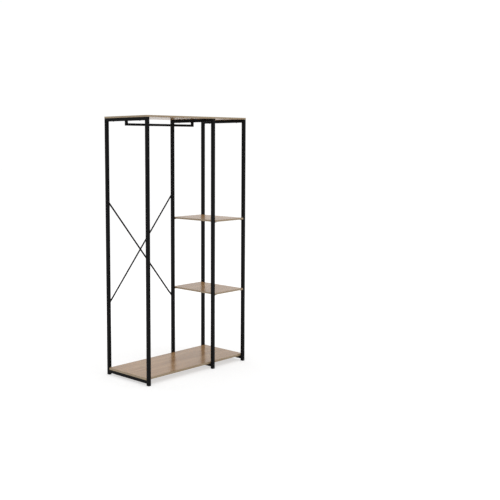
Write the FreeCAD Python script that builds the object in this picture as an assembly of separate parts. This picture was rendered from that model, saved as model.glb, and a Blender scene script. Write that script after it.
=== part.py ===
import FreeCAD, Part
import math
import os

# Open frame wardrobe: three welded frames of square steel tube carry a top panel and a bottom shelf,
# two small shelves fill the narrow right bay, and a rail hangs in the wide left bay, which is braced
# by two crossed flat bars at the back. Millimetres. +X is to the right of someone facing the wardrobe,
# +Y goes to its back and +Z is up. The origin is the bottom centre of the whole object's box.

# Overall size
height = 1800.0
width = 972.0
frame_depth = 432.0

# Square steel tube of the frames
tube = 22.0
tube_wall = 1.2
tube_corner_radius = 1.5
crossbar_floor_gap = 15.0

# Plastic glides pressed into the lower ends of the posts
glide_height = 5.0
glide_plug_length = 18.0
glide_clearance = 0.2
glide_chamfer = 1.0

# Wood-effect boards
board_thickness = 12.0
bottom_shelf_thickness = 15.0
board_edge_chamfer = 0.8
board_clearance = 0.5
bottom_shelf_end_inset = 1.0
shelf_bay_width = 303.0
upper_shelf_height = 1073.0
lower_shelf_height = 550.0

# Steel tabs welded to the posts under the two small shelves
tab_reach = 22.0
tab_thickness = 3.0
tab_corner_cut = 4.0
tab_hole_share = 0.5

# Hanging rail, a mitred U of square tube under the left and middle frames
rail = 16.0
rail_wall = 1.2
rail_corner_radius = 1.2
hook_gap = 37.0
rail_plug_length = 12.0
rail_plug_clearance = 0.1

# Cross brace of two flat bars: a straight one on the posts, a cranked one that passes over it
brace_width = 12.0
brace_thickness = 3.0
brace_upper_height = 1238.0
brace_lower_height = 483.0
brace_flat_end = 24.0
brace_crank_length = 14.0
brace_bolt_shares = (0, 0.5, 1)

# Wood screws through the frames and tabs into the boards
screw_diameter = 4.0
screw_head_diameter = 8.0
screw_head_height = 2.4
screw_inset = 60.0
screw_bite_share = 0.65
pilot_clearance = 0.05
pilot_overrun = 0.6

# Brace bolts and their nuts, and the bolts that hold the rail
bolt_diameter = 5.0
bolt_head_diameter = 9.5
bolt_head_height = 2.8
nut_across_flats = 8.0
nut_height = 4.0
rail_bolt_diameter = 6.0
rail_bolt_head_diameter = 10.0
rail_bolt_head_height = 6.0
thread_clearance = 0.05
hole_clearance = 0.25
access_clearance = 0.5

# Fasteners and their holes are small, so a few flat sides stand for round ones. A head's rim is this
# share of its height, and its top is this share of its width.
round_sides = 12
head_rim_share = 0.5
head_top_share = 0.7
cut_overrun = 1.0

# Places that follow from the sizes above
brace_stack = 2 * brace_thickness + bolt_head_height
front_face = -(frame_depth + brace_stack) / 2
rear_face = front_face + frame_depth
middle_y = front_face + frame_depth / 2
post_rows = {"front": front_face + tube / 2, "rear": rear_face - tube / 2}
left_x = tube / 2 - width / 2
right_x = width / 2 - tube / 2
middle_x = right_x - tube - shelf_bay_width
frames = {"left": left_x, "middle": middle_x, "right": right_x}
wide_bay_frames = ("left", "middle")
post_top = height - board_thickness
top_bar_z = post_top - tube
bottom_bar_z = crossbar_floor_gap
bottom_shelf_z = bottom_bar_z + tube
bar_front = front_face + tube
bar_rear = rear_face - tube
bar_length = bar_rear - bar_front
rail_z = post_top - hook_gap - rail
screw_bite = screw_bite_share * board_thickness
screw_ys = (bar_front + screw_inset, bar_rear - screw_inset)
brace_heights = (brace_lower_height, brace_upper_height)

X_AXIS = FreeCAD.Vector(1, 0, 0)
Y_AXIS = FreeCAD.Vector(0, 1, 0)
Z_AXIS = FreeCAD.Vector(0, 0, 1)
ORIGIN = FreeCAD.Vector(0, 0, 0)
parts = {}


def at(x, y, z):
    return FreeCAD.Vector(x, y, z)


def outline(points):
    """A closed line through the points."""
    return Part.makePolygon(points + points[:1])


def square(side, z=0):
    """Outline of a sharp square, centred on the Z axis."""
    half = side / 2
    return outline([at(half, -half, z), at(half, half, z), at(-half, half, z), at(-half, -half, z)])


def rounded_square(side, radius, z=0):
    """Outline of a square with round corners, centred on the Z axis."""
    half = side / 2
    flat = half - radius
    corner = flat + radius * math.cos(math.radians(45))
    edges = []
    for quarter in range(4):
        turn = FreeCAD.Rotation(Z_AXIS, 90 * quarter)
        low, high, middle, after = [
            turn.multVec(at(x, y, z))
            for x, y in ((half, -flat), (half, flat), (corner, corner), (flat, half))
        ]
        edges.append(Part.makeLine(low, high))
        edges.append(Part.Arc(high, middle, after).toShape())
    return Part.Wire(edges)


def square_tube(side, wall, radius, length):
    """A length of square tube standing on the origin."""
    section = Part.Face(rounded_square(side, radius)).cut(Part.Face(square(side - 2 * wall)))
    return section.extrude(at(0, 0, length))


def ring(radius, centre, direction):
    """Outline of a small round about a centre, across a direction."""
    turn = FreeCAD.Rotation(Z_AXIS, direction)
    angles = [math.radians(360 * side / round_sides) for side in range(round_sides)]
    return outline([
        centre + turn.multVec(at(radius * math.cos(angle), radius * math.sin(angle), 0)) for angle in angles
    ])


def small_round(radius, start, direction, length):
    return Part.Face(ring(radius, start, direction)).extrude(direction * length)


def drill(shape, radius, points, direction, length):
    """Cuts a hole at each point, from just before it to a length along the direction."""
    for point in points:
        start = point - direction * cut_overrun
        shape = shape.cut(small_round(radius, start, direction, length + cut_overrun))
    return shape


def fastener(diameter, length, head_diameter, head_height, seat, direction):
    """A screw or bolt with its head on a seat and its shank along the direction."""
    head_radius = head_diameter / 2
    rim = seat - direction * head_height * head_rim_share
    top = seat - direction * head_height
    sections = [
        ring(head_radius, seat, direction),
        ring(head_radius, rim, direction),
        ring(head_radius * head_top_share, top, direction),
    ]
    head = Part.makeLoft(sections, True, True)
    return head.fuse(small_round(diameter / 2, seat, direction, length))


def brace_bolt(grip, seat):
    length = grip + nut_height
    return fastener(bolt_diameter, length, bolt_head_diameter, bolt_head_height, seat, -Y_AXIS)


def brace_nut(seat):
    """A hexagon nut whose rear face is on the seat."""
    corner = nut_across_flats / 2 / math.cos(math.radians(30))
    angles = [math.radians(60 * side) for side in range(6)]
    corners = [seat + at(corner * math.cos(angle), 0, corner * math.sin(angle)) for angle in angles]
    blank = Part.Face(outline(corners)).extrude(-Y_AXIS * nut_height)
    return drill(blank, bolt_diameter / 2 + thread_clearance, [seat], -Y_AXIS, nut_height + cut_overrun)


# Posts: two to a frame. The rear posts of the wide bay have a bolt hole in the back wall at each
# brace end.
for frame, x in frames.items():
    for row, y in post_rows.items():
        post = square_tube(tube, tube_wall, tube_corner_radius, post_top - glide_height)
        post = post.translated(at(x, y, glide_height))
        if row == "rear" and frame in wide_bay_frames:
            holes = [at(x, rear_face, z) for z in brace_heights]
            post = drill(post, bolt_diameter / 2 + hole_clearance, holes, -Y_AXIS, tube / 2)
        parts[f"{frame}_{row}_post"] = post

# Crossbars: butt welded between the posts of each frame, drilled right through for the screws that
# hold the boards. The two that carry the rail also have a bolt hole, with a wider hole above it.
screw_hole_radius = screw_diameter / 2 + hole_clearance
for frame, x in frames.items():
    for level, z in (("top", top_bar_z), ("bottom", bottom_bar_z)):
        crossbar = square_tube(tube, tube_wall, tube_corner_radius, bar_length)
        crossbar = crossbar.rotated(ORIGIN, X_AXIS, -90).translated(at(x, bar_front, z + tube / 2))
        holes = [at(x, y, z) for y in screw_ys]
        crossbar = drill(crossbar, screw_hole_radius, holes, Z_AXIS, tube + cut_overrun)
        if level == "top" and frame in wide_bay_frames:
            below = [at(x, middle_y, z)]
            above = [at(x, middle_y, z + tube)]
            crossbar = drill(crossbar, rail_bolt_diameter / 2 + hole_clearance, below, Z_AXIS, tube / 2)
            access_radius = rail_bolt_head_diameter / 2 + access_clearance
            crossbar = drill(crossbar, access_radius, above, -Z_AXIS, tube / 2)
        parts[f"{frame}_{level}_crossbar"] = crossbar

# Glides: a square foot as wide as the tube, chamfered at the floor, with a plug up inside the post.
foot_base = rounded_square(tube - 2 * glide_chamfer, tube_corner_radius)
foot_edge = rounded_square(tube, tube_corner_radius, glide_chamfer)
foot = Part.makeLoft([foot_base, foot_edge], True, True)
foot = foot.fuse(Part.Face(foot_edge).extrude(at(0, 0, glide_height - glide_chamfer)))
plug_side = tube - 2 * tube_wall - 2 * glide_clearance
glide_plug = Part.Face(square(plug_side, glide_height)).extrude(at(0, 0, glide_plug_length))
glide = foot.fuse(glide_plug).removeSplitter()
for frame, x in frames.items():
    for row, y in post_rows.items():
        parts[f"{frame}_{row}_glide"] = glide.translated(at(x, y, 0))


def board(x_low, x_high, y_low, y_high, z_low, thickness, screw_points):
    """A board with softened edges and a blind pilot hole above each screw point."""
    blank = Part.makeBox(x_high - x_low, y_high - y_low, thickness, at(x_low, y_low, z_low))
    blank = blank.makeChamfer(board_edge_chamfer, blank.Edges)
    pilots = [at(x, y, z_low) for x, y in screw_points]
    return drill(blank, screw_diameter / 2 + pilot_clearance, pilots, Z_AXIS, screw_bite + pilot_overrun)


def screws_under(seat_z, grip, points):
    """One screw up through each point, its head under the seat, biting into the board above."""
    length = grip + screw_bite
    return Part.makeCompound([
        fastener(screw_diameter, length, screw_head_diameter, screw_head_height, at(x, y, seat_z), Z_AXIS)
        for x, y in points
    ])


# Top panel: covers all three frames and is flush with their outer faces.
bar_points = [(x, y) for x in frames.values() for y in screw_ys]
parts["top_panel"] = board(
    -width / 2, width / 2, front_face, rear_face, post_top, board_thickness, bar_points
)
parts["top_panel_screws"] = screws_under(top_bar_z, tube, bar_points)

# Bottom shelf: a thicker board that lies on the bottom crossbars, between the front and the rear posts.
shelf_end = width / 2 - bottom_shelf_end_inset
shelf_front = bar_front + board_clearance
shelf_rear = bar_rear - board_clearance
parts["bottom_shelf"] = board(
    -shelf_end, shelf_end, shelf_front, shelf_rear, bottom_shelf_z, bottom_shelf_thickness, bar_points
)
parts["bottom_shelf_screws"] = screws_under(bottom_bar_z, tube, bar_points)

# Small shelves: fill the right bay from post to post, each on four tabs welded to the posts. A tab is
# a plate as wide as the flat of the tube, with its two free corners cut off.
bay_left = middle_x + tube / 2
bay_right = right_x - tube / 2
tab_half = tube / 2 - tube_corner_radius
tab_outline = outline([
    at(0, -tab_half, 0),
    at(tab_reach - tab_corner_cut, -tab_half, 0),
    at(tab_reach, tab_corner_cut - tab_half, 0),
    at(tab_reach, tab_half - tab_corner_cut, 0),
    at(tab_reach - tab_corner_cut, tab_half, 0),
    at(0, tab_half, 0),
])
tab_hole_x = tab_reach * tab_hole_share
tab = Part.Face(tab_outline).extrude(at(0, 0, tab_thickness))
tab = drill(tab, screw_hole_radius, [at(tab_hole_x, 0, 0)], Z_AXIS, tab_thickness + cut_overrun)
tab_points = [(x, y) for x in (bay_left + tab_hole_x, bay_right - tab_hole_x) for y in post_rows.values()]
for shelf, shelf_top in (("upper", upper_shelf_height), ("lower", lower_shelf_height)):
    shelf_z = shelf_top - board_thickness
    tab_z = shelf_z - tab_thickness
    shelf_left = bay_left + board_clearance
    shelf_right = bay_right - board_clearance
    parts[f"{shelf}_shelf"] = board(
        shelf_left, shelf_right, front_face, rear_face, shelf_z, board_thickness, tab_points
    )
    tabs = []
    for y in post_rows.values():
        tabs.append(tab.translated(at(bay_left, y, tab_z)))
        tabs.append(tab.rotated(ORIGIN, Z_AXIS, 180).translated(at(bay_right, y, tab_z)))
    parts[f"{shelf}_shelf_tabs"] = Part.makeCompound(tabs)
    parts[f"{shelf}_shelf_screws"] = screws_under(tab_z, tab_thickness, tab_points)


def mitre(corner_x, inward, keep_rail):
    """A wedge on one side of the mitre that runs from the rail's outer bottom corner to its inner top."""
    outer_x = corner_x - inward * (rail / 2 + cut_overrun)
    inner_x = corner_x + inward * (rail / 2 + cut_overrun)
    low = at(outer_x, middle_y - rail, rail_z - cut_overrun)
    high = at(inner_x, middle_y - rail, rail_z + rail + cut_overrun)
    third = at(outer_x, low.y, high.z) if keep_rail else at(inner_x, low.y, low.z)
    return Part.Face(outline([low, high, third])).extrude(at(0, 2 * rail, 0))


# Hanging rail and its two legs: mitred at the corners. A steel plug in the top of each leg takes a
# bolt whose head sits inside the crossbar, reached through the wider hole above it.
rail_tube = square_tube(rail, rail_wall, rail_corner_radius, middle_x - left_x + rail)
rail_tube = rail_tube.rotated(ORIGIN, Y_AXIS, 90)
rail_tube = rail_tube.translated(at(left_x - rail / 2, middle_y, rail_z + rail / 2))
leg_plug_side = rail - 2 * rail_wall - 2 * rail_plug_clearance
leg_plug_bore = rail_bolt_diameter / 2 + thread_clearance
plugs = []
bolts = []
for side, x, inward in (("left", left_x, 1), ("right", middle_x, -1)):
    rail_tube = rail_tube.cut(mitre(x, inward, True))
    leg = square_tube(rail, rail_wall, rail_corner_radius, top_bar_z - rail_z)
    leg = leg.translated(at(x, middle_y, rail_z))
    parts[f"rail_{side}_leg"] = leg.cut(mitre(x, inward, False))
    leg_top = at(x, middle_y, top_bar_z)
    plug = Part.Face(square(leg_plug_side)).extrude(at(0, 0, -rail_plug_length)).translated(leg_top)
    plugs.append(drill(plug, leg_plug_bore, [leg_top], -Z_AXIS, rail_plug_length + cut_overrun))
    bolts.append(fastener(
        rail_bolt_diameter,
        tube_wall + rail_plug_length,
        rail_bolt_head_diameter,
        rail_bolt_head_height,
        leg_top + at(0, 0, tube_wall),
        -Z_AXIS,
    ))
parts["hanging_rail"] = rail_tube
parts["rail_plugs"] = Part.makeCompound(plugs)
parts["rail_bolts"] = Part.makeCompound(bolts)

# Cross brace. A bar is drawn along +X from its first bolt to its last, its front face on the XZ
# plane, and then tilted onto the line between its two posts.
brace_run = middle_x - left_x
brace_rise = brace_upper_height - brace_lower_height
brace_length = math.hypot(brace_run, brace_rise)
brace_tilt = math.degrees(math.atan2(brace_rise, brace_run))
end_radius = brace_width / 2
bar_outline = Part.Wire([
    Part.makeLine(at(0, 0, -end_radius), at(brace_length, 0, -end_radius)),
    Part.Arc(
        at(brace_length, 0, -end_radius),
        at(brace_length + end_radius, 0, 0),
        at(brace_length, 0, end_radius),
    ).toShape(),
    Part.makeLine(at(brace_length, 0, end_radius), at(0, 0, end_radius)),
    Part.Arc(at(0, 0, end_radius), at(-end_radius, 0, 0), at(0, 0, -end_radius)).toShape(),
])
straight_bar = Part.Face(bar_outline).extrude(at(0, brace_thickness, 0))

# The cranked bar is flat on the posts at its ends and one bar's thickness further back between them.
crank_end = brace_flat_end + brace_crank_length
front_line = [
    (-end_radius, 0),
    (brace_flat_end, 0),
    (crank_end, brace_thickness),
    (brace_length - crank_end, brace_thickness),
    (brace_length - brace_flat_end, 0),
    (brace_length + end_radius, 0),
]
rear_line = [(x, y + brace_thickness) for x, y in reversed(front_line)]
side_view = outline([at(x, y, -end_radius) for x, y in front_line + rear_line])
cranked_bar = Part.Face(side_view).extrude(at(0, 0, brace_width))
cranked_bar = cranked_bar.common(Part.Face(bar_outline).extrude(at(0, 2 * brace_thickness, 0)))

bolt_points = [at(share * brace_length, 0, 0) for share in brace_bolt_shares]
bar_hole_radius = bolt_diameter / 2 + hole_clearance
brace_places = (
    ("straight_brace", straight_bar, brace_lower_height, -brace_tilt),
    ("cranked_brace", cranked_bar, brace_upper_height, brace_tilt),
)
for name, bar, start_z, turn in brace_places:
    bar = drill(bar, bar_hole_radius, bolt_points, Y_AXIS, 2 * brace_thickness + cut_overrun)
    parts[name] = bar.rotated(ORIGIN, Y_AXIS, turn).translated(at(left_x, rear_face, start_z))

# Brace bolts go forward through a bar and the post's back wall into a nut welded inside the post.
brace_ends = [(x, z) for x in (left_x, middle_x) for z in brace_heights]
end_grip = brace_thickness + tube_wall
parts["brace_bolts"] = Part.makeCompound(
    [brace_bolt(end_grip, at(x, rear_face + brace_thickness, z)) for x, z in brace_ends]
)
parts["brace_nuts"] = Part.makeCompound(
    [brace_nut(at(x, rear_face - tube_wall, z)) for x, z in brace_ends]
)

# One more bolt and nut clamp the two bars where they cross.
crossing_x = (left_x + middle_x) / 2
crossing_z = (brace_lower_height + brace_upper_height) / 2
crossing_grip = 2 * brace_thickness
parts["brace_centre_bolt"] = brace_bolt(crossing_grip, at(crossing_x, rear_face + crossing_grip, crossing_z))
parts["brace_centre_nut"] = brace_nut(at(crossing_x, rear_face, crossing_z))

os.makedirs("parts", exist_ok=True)
for name, shape in parts.items():
    shape.exportStep(f"parts/{name}.step")
    print(name, len(shape.Solids), "solids, valid" if shape.isValid() else "solids, not valid")
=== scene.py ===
import math

import bmesh
import bpy
from mathutils import Matrix, Vector


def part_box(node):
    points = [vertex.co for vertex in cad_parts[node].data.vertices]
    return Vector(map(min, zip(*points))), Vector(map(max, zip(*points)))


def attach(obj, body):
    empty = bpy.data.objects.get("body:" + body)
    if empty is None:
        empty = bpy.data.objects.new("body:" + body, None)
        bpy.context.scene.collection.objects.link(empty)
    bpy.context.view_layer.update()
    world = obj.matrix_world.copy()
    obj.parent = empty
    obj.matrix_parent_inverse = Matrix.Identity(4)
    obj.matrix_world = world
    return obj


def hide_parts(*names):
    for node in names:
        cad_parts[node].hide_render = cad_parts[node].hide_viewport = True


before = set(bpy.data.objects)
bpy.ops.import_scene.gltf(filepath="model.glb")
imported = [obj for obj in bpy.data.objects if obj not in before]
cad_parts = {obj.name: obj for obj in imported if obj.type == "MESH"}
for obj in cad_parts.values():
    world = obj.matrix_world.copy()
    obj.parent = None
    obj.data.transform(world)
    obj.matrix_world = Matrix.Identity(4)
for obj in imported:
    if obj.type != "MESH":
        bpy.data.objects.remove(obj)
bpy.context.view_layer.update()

# Posts and crossbars: thin-walled square steel tube, sawn square and butt welded into three frames.
# Each frame is sprayed with black powder after welding and baked, so one satin skin covers it all.
MM = 0.001
SIDES = ("left", "middle", "right")
ROWS = ("front", "rear")
LEVELS = ("top", "bottom")


def linear(colour):
    """An sRGB hex colour as the linear colour that a shader socket takes."""
    tones = [int(colour[place:place + 2], 16) / 255 for place in (1, 3, 5)]
    return [tone / 12.92 if tone <= 0.04045 else ((tone + 0.055) / 1.055) ** 2.4 for tone in tones] + [1]


def add_node(tree, kind, settings):
    """Adds a node. A setting is a property of it, a socket's value or the output that feeds a socket."""
    node = tree.nodes.new("ShaderNode" + kind)
    for name, value in settings.items():
        if isinstance(value, bpy.types.NodeSocket):
            tree.links.new(value, node.inputs[name])
        elif isinstance(name, str) and hasattr(node, name):
            setattr(node, name, value)
        else:
            node.inputs[name].default_value = value
    return node


def new_material(name):
    """A material whose node tree is still empty."""
    material = bpy.data.materials.new(name)
    material.use_nodes = True
    material.node_tree.nodes.clear()
    return material


def satin_black_powder_coat():
    """Polyester powder fused in an oven: near black, with a soft sheen and a fine orange peel.
    The peel is drawn 4 mm wide, a few times its real size, so that it shows."""
    material = new_material("satin_black_powder_coat")
    tree = material.node_tree
    place = add_node(tree, "TexCoord", {}).outputs["Object"]
    drift = add_node(tree, "TexNoise", {"Vector": place, "Scale": 1 / (60 * MM), "Detail": 3})
    peel = add_node(tree, "TexNoise", {"Vector": place, "Scale": 1 / (4 * MM), "Detail": 2})
    colour = add_node(tree, "MixRGB", {
        "Fac": drift.outputs["Fac"], "Color1": linear("#0b0b0c"), "Color2": linear("#131314"),
    })
    roughness = add_node(tree, "MapRange", {"Value": drift.outputs["Fac"], "To Min": 0.46, "To Max": 0.58})
    bump = add_node(tree, "Bump", {"Height": peel.outputs["Fac"], "Strength": 0.25, "Distance": 0.05 * MM})
    shader = add_node(tree, "BsdfPrincipled", {
        "Base Color": colour.outputs["Color"],
        "Roughness": roughness.outputs["Result"],
        "Normal": bump.outputs["Normal"],
        "Specular IOR Level": 0.08,
    })
    add_node(tree, "OutputMaterial", {"Surface": shader.outputs["BSDF"]})
    return material


def finish_nodes(material, nodes):
    """Gives CAD nodes whose shape is already right their finish."""
    for name in nodes:
        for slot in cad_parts[name].material_slots:
            slot.material = material


powder_coat = satin_black_powder_coat()
finish_nodes(powder_coat, [f"{side}_{row}_post" for side in SIDES for row in ROWS])
finish_nodes(powder_coat, [f"{side}_{level}_crossbar" for side in SIDES for level in LEVELS])

# Frame welds: a fillet run under each end of a crossbar, and a low cap run up each flush side joint.
# Thin tube is welded in short steps, which leaves ripples. The caps on the wardrobe's outer sides are
# ground flush, so those fill their joints and no more, and the powder coat goes over them all.
RIPPLE_PITCH = 1.8 * MM
RINGS_TO_A_RIPPLE = 4
RIPPLE_DEPTH = 0.2
BEAD_SIDES = 10
BEAD_END_SIZE = 0.3
FILLET_LEG = 2.2 * MM
CAP_WIDTH = 4 * MM
CAP_HEIGHT = 0.5 * MM
WELD_END_GAP = 2 * MM
GROUND_FACES = (("left", -1), ("right", 1))
SHARP_ANGLE = math.radians(32)


def loft(shape, rings, closed=False):
    """Skins a row of rings that have equally many points. A closed row joins its last ring to its first."""
    rows = [[shape.verts.new(point) for point in ring] for ring in rings]
    pairs = list(zip(rows, rows[1:]))
    if closed:
        pairs.append((rows[-1], rows[0]))
    else:
        shape.faces.new(rows[0])
        shape.faces.new(rows[-1])
    for near, far in pairs:
        for place in range(len(near)):
            side = shape.faces.new((near[place - 1], near[place], far[place], far[place - 1]))
            side.smooth = True


def add_bead(shape, start, end, normal, width, height):
    """A run of weld from start to end: rippled along its length, and thin where it starts and stops.
    The ripples' depth and the size at the ends are shares of the full size."""
    run = end - start
    across = normal.cross(run).normalized()
    ripples = max(round(run.length / RIPPLE_PITCH), 2)
    rings = []
    for step in range(ripples * RINGS_TO_A_RIPPLE + 1):
        share = step / (ripples * RINGS_TO_A_RIPPLE)
        taper = min(1, BEAD_END_SIZE + ripples * min(share, 1 - share))
        swell = taper * (1 - RIPPLE_DEPTH + RIPPLE_DEPTH * abs(math.sin(math.pi * ripples * share)))
        ring = []
        for side in range(BEAD_SIDES):
            angle = math.tau * side / BEAD_SIDES
            offset = across * width / 2 * math.cos(angle) + normal * height * math.sin(angle)
            ring.append(start + run * share + offset * swell)
        rings.append(ring)
    loft(shape, rings)


def add_fillet(shape, start, end, open_way):
    """A bead in the corner between two pieces, which faces the open side of the corner."""
    add_bead(shape, start, end, open_way.normalized(), 2 * FILLET_LEG, FILLET_LEG)


def add_cap(shape, start, end, outward):
    """A low bead along the joint between two faces that are flush."""
    add_bead(shape, start, end, outward, CAP_WIDTH, CAP_HEIGHT)


def add_piece(name, shape, materials, nodes=()):
    """Makes a drawn shape into a piece of the wardrobe, which stands for the CAD nodes named."""
    bmesh.ops.recalc_face_normals(shape, faces=shape.faces)
    for edge in shape.edges:
        edge.smooth = edge.calc_face_angle(0) < SHARP_ANGLE
    mesh = bpy.data.meshes.new(name)
    shape.to_mesh(mesh)
    shape.free()
    for material in materials:
        mesh.materials.append(material)
    piece = bpy.data.objects.new(name, mesh)
    bpy.context.scene.collection.objects.link(piece)
    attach(piece, "root")
    if nodes:
        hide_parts(*nodes)


for side in SIDES:
    shape = bmesh.new()
    for level in LEVELS:
        low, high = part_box(f"{side}_{level}_crossbar")
        for y, inward in ((low.y, 1), (high.y, -1)):
            start = Vector((low.x + WELD_END_GAP, y, low.z))
            end = Vector((high.x - WELD_END_GAP, y, low.z))
            add_fillet(shape, start, end, Vector((0, inward, -1)))
            for x, outward in ((low.x, -1), (high.x, 1)):
                sunk = CAP_HEIGHT if (side, outward) in GROUND_FACES else 0
                start = Vector((x - outward * sunk, y, low.z + WELD_END_GAP))
                end = Vector((x - outward * sunk, y, high.z - WELD_END_GAP))
                add_cap(shape, start, end, Vector((outward, 0, 0)))
    add_piece(f"{side}_frame_welds", shape, [powder_coat])

# Glides: square feet moulded in black polyethylene, with a plug that is knocked into the open post.
# The mould is spark eroded, so the foot is duller than the tube above it.


def moulded_polyethylene():
    """Soft injection-moulded plastic: black and dull, with the fine grain of the mould.
    The grain is drawn 0.4 mm wide, several times its real size."""
    material = new_material("moulded_black_polyethylene")
    tree = material.node_tree
    place = add_node(tree, "TexCoord", {}).outputs["Object"]
    grain = add_node(tree, "TexNoise", {"Vector": place, "Scale": 1 / (0.4 * MM), "Detail": 2})
    scuffs = add_node(tree, "TexNoise", {"Vector": place, "Scale": 1 / (5 * MM), "Detail": 4})
    colour = add_node(tree, "MixRGB", {
        "Fac": scuffs.outputs["Fac"], "Color1": linear("#0e0e0e"), "Color2": linear("#1b1b1b"),
    })
    roughness = add_node(tree, "MapRange", {"Value": scuffs.outputs["Fac"], "To Min": 0.5, "To Max": 0.7})
    bump = add_node(tree, "Bump", {"Height": grain.outputs["Fac"], "Strength": 0.4, "Distance": 0.03 * MM})
    shader = add_node(tree, "BsdfPrincipled", {
        "Base Color": colour.outputs["Color"],
        "Roughness": roughness.outputs["Result"],
        "Normal": bump.outputs["Normal"],
        "Specular IOR Level": 0.3,
    })
    add_node(tree, "OutputMaterial", {"Surface": shader.outputs["BSDF"]})
    return material


finish_nodes(moulded_polyethylene(), [f"{side}_{row}_glide" for side in SIDES for row in ROWS])

# Boards: particle board pressed between two sheets of printed oak-effect melamine paper.
# An edge band of the same print is glued round the sides and its arrises are trimmed round.
BAND_THICKNESS = 1 * MM
BAND_ARRIS = BAND_THICKNESS / 3
SEAM_DEPTH = 0.12 * MM
GRAIN_STRETCH = 20
BOARDS = ("top_panel", "bottom_shelf", "upper_shelf", "lower_shelf")
# The face tones are the band tones made darker. This is painted shade on the broad faces: the real faces and
# bands carry the same print.
# the print's dark and pale bands, its fibres and its pores
SHADED_FACE_TONES = ("#9b754c", "#c19c72", "#926a43", "#714e2d")
BAND_TONES = ("#aa9170", "#c6b599", "#9e8466", "#826b52")


def oak_melamine(name, grain_scale, tones):
    """An oak print under a satin resin: long fine fibres, broad warm bands and short dark pores.
    The fibres and pores are drawn 3 and 1 mm wide, a few times their real size, so that they show."""
    dark, pale, fibre, pore = [linear(tone) for tone in tones]
    material = new_material(name)
    tree = material.node_tree
    place = add_node(tree, "TexCoord", {}).outputs["Object"]
    drawn_out = add_node(tree, "Mapping", {"Vector": place, "Scale": grain_scale}).outputs["Vector"]
    bands = add_node(tree, "TexNoise", {
        "Vector": drawn_out, "Scale": 1 / (36 * MM), "Detail": 5, "Distortion": 0.5,
    })
    fibres = add_node(tree, "TexNoise", {"Vector": drawn_out, "Scale": 1 / (3 * MM), "Detail": 5})
    pores = add_node(tree, "TexNoise", {"Vector": drawn_out, "Scale": 1 / (1 * MM), "Detail": 1})
    band_tone = add_node(tree, "MapRange", {"Value": bands.outputs["Fac"], "From Min": 0.3, "From Max": 0.7})
    warm = add_node(tree, "MixRGB", {
        "Fac": band_tone.outputs["Result"], "Color1": dark, "Color2": pale,
    })
    fibre_tone = add_node(tree, "MapRange", {
        "Value": fibres.outputs["Fac"], "From Min": 0.35, "From Max": 0.7, "To Max": 0.5,
    })
    fibred = add_node(tree, "MixRGB", {
        "Fac": fibre_tone.outputs["Result"], "Color1": warm.outputs["Color"], "Color2": fibre,
    })
    pore_tone = add_node(tree, "MapRange", {
        "Value": pores.outputs["Fac"], "From Min": 0.6, "From Max": 0.72, "To Max": 0.6,
    })
    colour = add_node(tree, "MixRGB", {
        "Fac": pore_tone.outputs["Result"], "Color1": fibred.outputs["Color"], "Color2": pore,
    })
    roughness = add_node(tree, "MapRange", {"Value": fibres.outputs["Fac"], "To Min": 0.18, "To Max": 0.29})
    bump = add_node(tree, "Bump", {
        "Height": pore_tone.outputs["Result"], "Strength": 0.5, "Distance": 0.04 * MM, "invert": True,
    })
    shader = add_node(tree, "BsdfPrincipled", {
        "Base Color": colour.outputs["Color"],
        "Roughness": roughness.outputs["Result"],
        "Normal": bump.outputs["Normal"],
    })
    add_node(tree, "OutputMaterial", {"Surface": shader.outputs["BSDF"]})
    return material


def add_slab(shape, low, high, arris, material_index):
    """A block with flat faces, whose every edge is rounded off."""
    middle = Matrix.Translation((low + high) / 2)
    block = bmesh.ops.create_cube(shape, matrix=middle @ Matrix.Diagonal(high - low).to_4x4())
    edges = {edge for vert in block["verts"] for edge in vert.link_edges}
    bevel = bmesh.ops.bevel(shape, geom=list(edges), offset=arris, segments=3, profile=0.5, affect="EDGES")
    for face in {face for vert in bevel["verts"] for face in vert.link_faces}:
        face.material_index = material_index
    for face in bevel["faces"]:
        face.smooth = True


# The broad faces take the darker tones, so painted shade stands in their print.
shaded_face_print = oak_melamine("oak_melamine_face_painted_shade", (1 / GRAIN_STRETCH, 1, 1), SHADED_FACE_TONES)
long_band = oak_melamine("oak_edge_band_along_x", (1 / GRAIN_STRETCH, 1, 1), BAND_TONES)
end_band = oak_melamine("oak_edge_band_along_y", (1, 1 / GRAIN_STRETCH, 1), BAND_TONES)
for board in BOARDS:
    low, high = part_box(board)
    shape = bmesh.new()
    along_y = Vector((0, BAND_THICKNESS, 0))
    along_x = Vector((BAND_THICKNESS, 0, 0))
    add_slab(shape, low + along_x + along_y, high - along_x - along_y, SEAM_DEPTH, 0)
    add_slab(shape, low, Vector((high.x, low.y + BAND_THICKNESS, high.z)), BAND_ARRIS, 1)
    add_slab(shape, Vector((low.x, high.y - BAND_THICKNESS, low.z)), high, BAND_ARRIS, 1)
    add_slab(shape, low + along_y, Vector((low.x, high.y, high.z)) + along_x - along_y, BAND_ARRIS, 2)
    add_slab(shape, Vector((high.x, low.y, low.z)) - along_x + along_y, high - along_y, BAND_ARRIS, 2)
    add_piece(f"{board}_melamine", shape, [shaded_face_print, long_band, end_band], [board])

# Board screws: pan-head wood screws, cold headed from wire with a cross recess, rolled thread and point.
# They go up through the crossbars and tabs into the boards, and are plated with black zinc.
FASTENER_SIDES = 24
DOME_STEPS = 4
RINGS_TO_A_THREAD = 4
SCREW_HEAD_RADIUS = 4 * MM
SCREW_HEAD_HEIGHT = 2.4 * MM
SCREW_HEAD_FLAT = 2.5 * MM
SCREW_NECK = 0.5 * MM
SCREW_POINT = 3.5 * MM
# radius, depth and pitch
SCREW_THREAD = (2 * MM, 0.55 * MM, 1.8 * MM)


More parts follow.
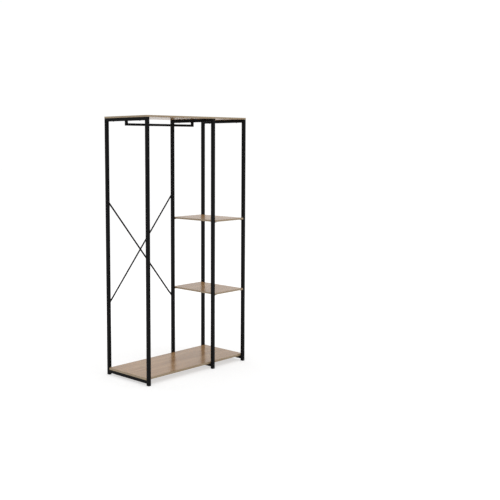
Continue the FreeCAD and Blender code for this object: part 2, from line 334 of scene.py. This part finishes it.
def black_zinc_plate():
    """Zinc plate dyed black: a thin metal skin, nearly black, with a faint cloudy sheen."""
    material = new_material("black_zinc_plate")
    tree = material.node_tree
    place = add_node(tree, "TexCoord", {}).outputs["Object"]
    clouds = add_node(tree, "TexNoise", {"Vector": place, "Scale": 1 / (2.5 * MM), "Detail": 3})
    colour = add_node(tree, "MixRGB", {
        "Fac": clouds.outputs["Fac"], "Color1": linear("#1d1d20"), "Color2": linear("#2c2c2f"),
    })
    roughness = add_node(tree, "MapRange", {"Value": clouds.outputs["Fac"], "To Min": 0.28, "To Max": 0.42})
    shader = add_node(tree, "BsdfPrincipled", {
        "Base Color": colour.outputs["Color"],
        "Roughness": roughness.outputs["Result"],
        "Metallic": 1,
    })
    add_node(tree, "OutputMaterial", {"Surface": shader.outputs["BSDF"]})
    return material


def add_turned(shape, place, profile, closed=False):
    """Lofts a fastener about its axis. Each step of the profile is a height and a radius, or a rule that
    gives the radius at an angle."""
    rings = []
    for height, radius in profile:
        ring = []
        for side in range(FASTENER_SIDES):
            angle = math.tau * side / FASTENER_SIDES
            reach = radius(angle) if callable(radius) else radius
            ring.append(place @ Vector((reach * math.cos(angle), reach * math.sin(angle), height)))
        rings.append(ring)
    loft(shape, rings, closed)


def cross_recess(radius):
    """Rule for a cross with four arms, each thirty degrees wide at its end."""
    def reach(angle):
        off_arm = abs((angle + math.pi / 4) % (math.pi / 2) - math.pi / 4)
        return radius * min(1, math.sin(math.pi / 12) / max(math.sin(off_arm), 0.01))
    return reach


def thread_steps(start, end, thread, end_share):
    """Steps of a shank with a helical thread, which narrows to a share of its radius at the end."""
    radius, depth, pitch = thread

    def reach_at(height, share):
        def reach(angle):
            turn = (height / pitch - angle / math.tau) % 1
            return share * (radius - depth * abs(2 * turn - 1))
        return reach

    count = round((end - start) / pitch * RINGS_TO_A_THREAD)
    steps = []
    for step in range(count + 1):
        height = start + (end - start) * step / count
        steps.append((height, reach_at(height, 1 + (end_share - 1) * step / count)))
    return steps


def dome_steps(top, flat_radius, rim, rim_radius):
    """Steps of a rounded head: a quarter of an ellipse from the edge of its flat top to its rim."""
    steps = []
    for step in range(DOME_STEPS + 1):
        turn = math.pi / 2 * step / DOME_STEPS
        height = rim + (top - rim) * math.cos(turn)
        steps.append((height, flat_radius + (rim_radius - flat_radius) * math.sin(turn)))
    return steps


def add_screw(shape, seat, length):
    """A screw that points up, with the underside of its head on the seat."""
    top = -SCREW_HEAD_HEIGHT
    head = [
        (top + 1.5 * MM, cross_recess(1.1 * MM)),
        (top, cross_recess(2.1 * MM)),
        *dome_steps(top, SCREW_HEAD_FLAT, -0.3 * MM, SCREW_HEAD_RADIUS),
        (0, 3.8 * MM),
        (0, 1.4 * MM),
    ]
    point_start = length - SCREW_POINT
    shank = thread_steps(SCREW_NECK, point_start, SCREW_THREAD, end_share=1)
    point = thread_steps(point_start, length, SCREW_THREAD, end_share=0.15)
    add_turned(shape, Matrix.Translation(seat), head + shank + point[1:])


zinc_plate = black_zinc_plate()
for board in BOARDS:
    nodes = [f"{board}_screws"]
    low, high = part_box(nodes[0])
    seat_z = low.z + SCREW_HEAD_HEIGHT
    columns = [low.x + SCREW_HEAD_RADIUS, high.x - SCREW_HEAD_RADIUS]
    if board in ("top_panel", "bottom_shelf"):
        bar_low, bar_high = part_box("middle_top_crossbar")
        columns.append((bar_low.x + bar_high.x) / 2)
    shape = bmesh.new()
    for x in columns:
        for y in (low.y + SCREW_HEAD_RADIUS, high.y - SCREW_HEAD_RADIUS):
            add_screw(shape, Vector((x, y, seat_z)), high.z - seat_z)
    add_piece(f"{board}_pan_head_screws", shape, [zinc_plate], nodes)

# Shelf tabs: small plates punched from steel strip, each welded to a post under a corner of a small shelf.
# They are welded on before the frames are coated, so the same powder covers them and their welds.
finish_nodes(powder_coat, ["upper_shelf_tabs", "lower_shelf_tabs"])
for shelf in ("upper_shelf", "lower_shelf"):
    low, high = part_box(f"{shelf}_tabs")
    shape = bmesh.new()
    for row in ROWS:
        post_low, post_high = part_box(f"middle_{row}_post")
        for x, inward in ((low.x, 1), (high.x, -1)):
            start = Vector((x, post_low.y + 2 * WELD_END_GAP, low.z))
            end = Vector((x, post_high.y - 2 * WELD_END_GAP, low.z))
            add_fillet(shape, start, end, Vector((inward, 0, -1)))
    add_piece(f"{shelf}_tab_welds", shape, [powder_coat])

# Hanging rail and its legs: lighter square tube, mitred at the corners, welded and powder coated.
# Low runs of weld are left down both faces of each mitre, and a fillet inside the corner.
finish_nodes(powder_coat, ["hanging_rail", "rail_left_leg", "rail_right_leg"])
rail_low, rail_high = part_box("hanging_rail")
rail_side = rail_high.z - rail_low.z
shape = bmesh.new()
for outer_x, inward in ((rail_low.x, 1), (rail_high.x, -1)):
    inner_x = outer_x + inward * rail_side
    for y, outward in ((rail_low.y, -1), (rail_high.y, 1)):
        start = Vector((outer_x + inward * WELD_END_GAP, y, rail_low.z + WELD_END_GAP))
        end = Vector((inner_x - inward * WELD_END_GAP, y, rail_high.z - WELD_END_GAP))
        add_cap(shape, start, end, Vector((0, outward, 0)))
    start = Vector((inner_x, rail_low.y + WELD_END_GAP, rail_high.z))
    end = Vector((inner_x, rail_high.y - WELD_END_GAP, rail_high.z))
    add_fillet(shape, start, end, Vector((inward, 0, 1)))
add_piece("rail_mitre_welds", shape, [powder_coat])

# Rail bolts and plugs: a socket cap screw goes down through each crossbar into a threaded steel plug.
# The plug is sawn from square bar, pressed into the top of the leg and left bare.
RAIL_BOLT_HEAD_RADIUS = 5 * MM
RAIL_BOLT_HEAD_HEIGHT = 6 * MM
RAIL_BOLT_KEY = 5 * MM
RAIL_BOLT_THREAD = (3 * MM, 0.55 * MM, 1 * MM)
BOLT_NECK = 0.2 * MM
BOLT_END_SHARE = 0.95
GRIP_RIDGES = 12
GRIP_DEPTH = 0.15 * MM
POINTING_DOWN = Matrix.Rotation(math.pi, 4, "X")


def plain_steel():
    """Bare mild steel: grey, with fine saw and die marks, drawn wider than real, that break up its shine."""
    material = new_material("plain_steel")
    tree = material.node_tree
    place = add_node(tree, "TexCoord", {}).outputs["Object"]
    marks = add_node(tree, "TexNoise", {"Vector": place, "Scale": 1 / (1.5 * MM), "Detail": 4})
    colour = add_node(tree, "MixRGB", {
        "Fac": marks.outputs["Fac"], "Color1": linear("#85837f"), "Color2": linear("#a5a39f"),
    })
    roughness = add_node(tree, "MapRange", {"Value": marks.outputs["Fac"], "To Min": 0.3, "To Max": 0.5})
    shader = add_node(tree, "BsdfPrincipled", {
        "Base Color": colour.outputs["Color"],
        "Roughness": roughness.outputs["Result"],
        "Metallic": 1,
    })
    add_node(tree, "OutputMaterial", {"Surface": shader.outputs["BSDF"]})
    return material


def hexagon(across_flats):
    """Rule for a hexagon that has a corner at the angle of zero."""
    def reach(angle):
        return across_flats / 2 / math.cos(angle % (math.pi / 3) - math.pi / 6)
    return reach


def knurled(radius):
    """Rule for the grip rolled round the head of a cap screw."""
    def reach(angle):
        return radius - GRIP_DEPTH * abs(math.sin(GRIP_RIDGES / 2 * angle))
    return reach


bare_steel = plain_steel()
finish_nodes(bare_steel, ["rail_plugs"])
low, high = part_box("rail_bolts")
seat_z = high.z - RAIL_BOLT_HEAD_HEIGHT
top = -RAIL_BOLT_HEAD_HEIGHT
cap_head = [
    (top + 3 * MM, hexagon(RAIL_BOLT_KEY)),
    (top, hexagon(RAIL_BOLT_KEY)),
    (top, 4.4 * MM),
    (top + 0.6 * MM, knurled(RAIL_BOLT_HEAD_RADIUS)),
    (-0.3 * MM, knurled(RAIL_BOLT_HEAD_RADIUS)),
    (0, 4.6 * MM),
    (0, 2.6 * MM),
]
shank = thread_steps(BOLT_NECK, seat_z - low.z, RAIL_BOLT_THREAD, BOLT_END_SHARE)
shape = bmesh.new()
for x in (low.x + RAIL_BOLT_HEAD_RADIUS, high.x - RAIL_BOLT_HEAD_RADIUS):
    seat = Matrix.Translation((x, (low.y + high.y) / 2, seat_z))
    add_turned(shape, seat @ POINTING_DOWN, cap_head + shank)
add_piece("rail_cap_screws", shape, [zinc_plate], ["rail_bolts"])

# Cross brace: two flat bars of mild steel with round cropped ends, powder coated like the frames.
# One lies straight on the posts; the other is pressed into a step near each end and passes behind it.
BRACE_WIDTH = 12 * MM
BRACE_THICKNESS = 3 * MM
BRACE_EDGE = 0.4 * MM
CRANK_START = 23 * MM
CRANK_END = 39 * MM
CURVE_STEPS = 10


def add_flat_bar(shape, place, length, lift):
    """A bar along X with round ends and softened edges, whose middle is lifted back by the crank."""
    half = BRACE_WIDTH / 2
    angles = [math.pi / 2 * step / CURVE_STEPS for step in range(1, CURVE_STEPS + 1)]
    ends = [(-half * math.cos(angle), half * math.sin(angle)) for angle in angles]
    crank = CRANK_END - CRANK_START
    bends = [(CRANK_START + crank * step / CURVE_STEPS, half) for step in range(CURVE_STEPS + 1)]
    first_half = ends + bends
    stations = first_half + [(length - x, width) for x, width in reversed(first_half)]
    rings = []
    for x, width in stations:
        into_crank = (min(x, length - x) - CRANK_START) / crank
        share = min(max(into_crank, 0), 1)
        near = lift * share * share * (3 - 2 * share)
        far = near + BRACE_THICKNESS
        edge = min(BRACE_EDGE, width / 2)
        corners = (
            (near, edge - width), (near + edge, -width), (far - edge, -width), (far, edge - width),
            (far, width - edge), (far - edge, width), (near + edge, width), (near, width - edge),
        )
        rings.append([place @ Vector((x, y, z)) for y, z in corners])
    loft(shape, rings)


for brace, lift in (("straight_brace", 0), ("cranked_brace", BRACE_THICKNESS)):
    low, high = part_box(brace)
    run = high.x - low.x - BRACE_WIDTH
    rise = high.z - low.z - BRACE_WIDTH
    if lift:
        tilt = math.atan2(rise, run)
        start_z = high.z - BRACE_WIDTH / 2
    else:
        tilt = -math.atan2(rise, run)
        start_z = low.z + BRACE_WIDTH / 2
    start = Matrix.Translation((low.x + BRACE_WIDTH / 2, low.y, start_z))
    shape = bmesh.new()
    add_flat_bar(shape, start @ Matrix.Rotation(tilt, 4, "Y"), math.hypot(run, rise), lift)
    add_piece(f"{brace}_bar", shape, [powder_coat], [brace])

# Brace bolts: button-head socket screws, one at each end of the bars and one where they cross.
# They go in from the back and are plated with black zinc.
BUTTON_RADIUS = 4.75 * MM
BUTTON_HEIGHT = 2.8 * MM
BUTTON_FLAT = 2.2 * MM
BUTTON_KEY = 3 * MM
BUTTON_THREAD = (2.5 * MM, 0.45 * MM, 0.8 * MM)
POINTING_FORWARD = Matrix.Rotation(math.pi / 2, 4, "X")


def add_button_bolt(shape, seat, length):
    """A bolt that points to the front of the wardrobe, with its head on the seat."""
    top = -BUTTON_HEIGHT
    head = [
        (top + 1.6 * MM, hexagon(BUTTON_KEY)),
        (top, hexagon(BUTTON_KEY)),
        *dome_steps(top, BUTTON_FLAT, -0.4 * MM, BUTTON_RADIUS),
        (0, 4.6 * MM),
        (0, 2.1 * MM),
    ]
    shank = thread_steps(BOLT_NECK, length, BUTTON_THREAD, BOLT_END_SHARE)
    add_turned(shape, Matrix.Translation(seat) @ POINTING_FORWARD, head + shank)


low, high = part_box("brace_bolts")
seat_y = high.y - BUTTON_HEIGHT
shape = bmesh.new()
for x in (low.x + BUTTON_RADIUS, high.x - BUTTON_RADIUS):
    for z in (low.z + BUTTON_RADIUS, high.z - BUTTON_RADIUS):
        add_button_bolt(shape, Vector((x, seat_y, z)), seat_y - low.y)
add_piece("brace_button_bolts", shape, [zinc_plate], ["brace_bolts"])
low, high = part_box("brace_centre_bolt")
seat_y = high.y - BUTTON_HEIGHT
shape = bmesh.new()
add_button_bolt(shape, Vector(((low.x + high.x) / 2, seat_y, (low.z + high.z) / 2)), seat_y - low.y)
add_piece("brace_centre_button_bolt", shape, [zinc_plate], ["brace_centre_bolt"])

# Brace nuts: cold-formed hexagon nuts, chamfered at both ends. Four bare ones are welded inside the rear
# posts, and a plated one is on the front of the crossing.
NUT_FLATS = 8 * MM
NUT_BORE_RADIUS = 2.15 * MM
NUT_CHAMFER = 0.5 * MM
NUT_FACE_RADIUS = NUT_FLATS / 2 - 0.1 * MM


def add_nut(shape, seat, height):
    """A nut whose rear face is on the seat and which points to the front of the wardrobe."""
    profile = [
        (NUT_CHAMFER, NUT_BORE_RADIUS),
        (0, NUT_BORE_RADIUS + NUT_CHAMFER),
        (0, NUT_FACE_RADIUS),
        (NUT_CHAMFER, hexagon(NUT_FLATS)),
        (height - NUT_CHAMFER, hexagon(NUT_FLATS)),
        (height, NUT_FACE_RADIUS),
        (height, NUT_BORE_RADIUS + NUT_CHAMFER),
        (height - NUT_CHAMFER, NUT_BORE_RADIUS),
    ]
    add_turned(shape, Matrix.Translation(seat) @ POINTING_FORWARD, profile, closed=True)


low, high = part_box("brace_nuts")
nut_corner = NUT_FLATS / math.sqrt(3)
shape = bmesh.new()
for x in (low.x + nut_corner, high.x - nut_corner):
    for z in (low.z + NUT_FLATS / 2, high.z - NUT_FLATS / 2):
        add_nut(shape, Vector((x, high.y, z)), high.y - low.y)
add_piece("brace_weld_nuts", shape, [bare_steel], ["brace_nuts"])
low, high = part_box("brace_centre_nut")
shape = bmesh.new()
add_nut(shape, Vector(((low.x + high.x) / 2, high.y, (low.z + high.z) / 2)), high.y - low.y)
add_piece("brace_crossing_nut", shape, [zinc_plate], ["brace_centre_nut"])

# Studio: white paper under a large overhead softbox, with pale walls all round.
# Paper and walls are plain white to the eye, and the paper keeps the shadow. Gloss shows the walls
# white as well, but greyer down near the floor, where the softbox lights them less.
SHADOW_REACH = 0.6
WHITE_FROM = 2
PAPER_REACH = 40


def seen_directly(tree):
    """1 for rays from the eye, off gloss and through glass, 0 for rays that carry light."""
    path = add_node(tree, "LightPath", {})
    first = add_node(tree, "Math", {
        "operation": "MAXIMUM", 0: path.outputs["Is Camera Ray"], 1: path.outputs["Is Glossy Ray"],
    })
    return add_node(tree, "Math", {
        "operation": "MAXIMUM", 0: first.outputs["Value"], 1: path.outputs["Is Transmission Ray"],
    }).outputs["Value"]


def white_paper():
    """Matt paper. Close to the object it keeps the shadow, and further out it is as white as the walls."""
    material = new_material("white_studio_paper")
    tree = material.node_tree
    seen = seen_directly(tree)
    place = add_node(tree, "TexCoord", {}).outputs["Object"]
    distance = add_node(tree, "VectorMath", {"operation": "LENGTH", 0: place})
    white = add_node(tree, "MapRange", {
        "Value": distance.outputs["Value"],
        "From Min": SHADOW_REACH, "From Max": WHITE_FROM, "To Min": 0.6, "To Max": 0.8,
    })
    strength = add_node(tree, "Math", {"operation": "MULTIPLY", 0: white.outputs["Result"], 1: seen})
    tone = add_node(tree, "MixRGB", {"Fac": seen, "Color1": linear("#ececec"), "Color2": linear("#bcbcbc")})
    paper = add_node(tree, "BsdfDiffuse", {"Color": tone.outputs["Color"]})
    glow = add_node(tree, "Emission", {"Color": linear("#ffffff"), "Strength": strength.outputs["Value"]})
    both = add_node(tree, "AddShader", {0: paper.outputs[0], 1: glow.outputs[0]})
    add_node(tree, "OutputMaterial", {"Surface": both.outputs[0]})
    return material


floor_shape = bmesh.new()
bmesh.ops.create_grid(floor_shape, size=PAPER_REACH)
floor_mesh = bpy.data.meshes.new("floor")
floor_shape.to_mesh(floor_mesh)
floor_shape.free()
floor_mesh.materials.append(white_paper())
floor = bpy.data.objects.new("floor", floor_mesh)
bpy.context.scene.collection.objects.link(floor)

world = bpy.data.worlds.new("pale_walls")
world.use_nodes = True
world.node_tree.nodes.clear()
light_path = add_node(world.node_tree, "LightPath", {})
direction = add_node(world.node_tree, "TexCoord", {}).outputs["Generated"]
rise = add_node(world.node_tree, "SeparateXYZ", {"Vector": direction}).outputs["Z"]
wall_shine = add_node(world.node_tree, "MapRange", {
    "Value": rise, "From Min": 0.04, "From Max": 0.3, "To Min": 0.66, "To Max": 1,
})
in_gloss = add_node(world.node_tree, "MapRange", {
    "Value": light_path.outputs["Is Glossy Ray"], "To Min": 0.5, "To Max": wall_shine.outputs["Result"],
})
strength = add_node(world.node_tree, "MapRange", {
    "Value": light_path.outputs["Is Camera Ray"], "To Min": in_gloss.outputs["Result"], "To Max": 1.02,
})
walls = add_node(world.node_tree, "Background", {
    "Color": linear("#ffffff"), "Strength": strength.outputs["Result"],
})
add_node(world.node_tree, "OutputWorld", {"Surface": walls.outputs["Background"]})
bpy.context.scene.world = world

softbox_data = bpy.data.lights.new("softbox", "AREA")
softbox_data.shape = "SQUARE"
softbox_data.size = 5
softbox_data.energy = 110
softbox = bpy.data.objects.new("softbox", softbox_data)
softbox.location = (0.4, -0.2, 4.2)
softbox.rotation_euler = (math.radians(3), math.radians(5), 0)
bpy.context.scene.collection.objects.link(softbox)

# Camera: off the left front corner, a little lower than the rail, and turned slightly down.
# Its frame is shifted, so that the wardrobe stands left of the middle of the picture.
IMAGE_SIDE = 500
FOCAL_PIXELS = 840.51
PRINCIPAL_POINT = (175, 230)
camera_data = bpy.data.cameras.new("camera")
camera_data.sensor_width = 36
camera_data.lens = camera_data.sensor_width * FOCAL_PIXELS / IMAGE_SIDE
camera_data.shift_x = 0.5 - PRINCIPAL_POINT[0] / IMAGE_SIDE
camera_data.shift_y = PRINCIPAL_POINT[1] / IMAGE_SIDE - 0.5
camera = bpy.data.objects.new("camera", camera_data)
stand = Vector((-4.18188, -4.27388, 1.6039))
yaw, pitch, roll = 0.77193, -0.10052, -0.00317
camera.matrix_world = (
    Matrix.Translation(stand)
    @ Matrix.Rotation(-yaw, 4, "Z")
    @ Matrix.Rotation(math.pi / 2 + pitch, 4, "X")
    @ Matrix.Rotation(roll, 4, "Z")
)
bpy.context.scene.collection.objects.link(camera)
bpy.context.scene.camera = camera
bpy.context.scene.view_settings.view_transform = "Standard"
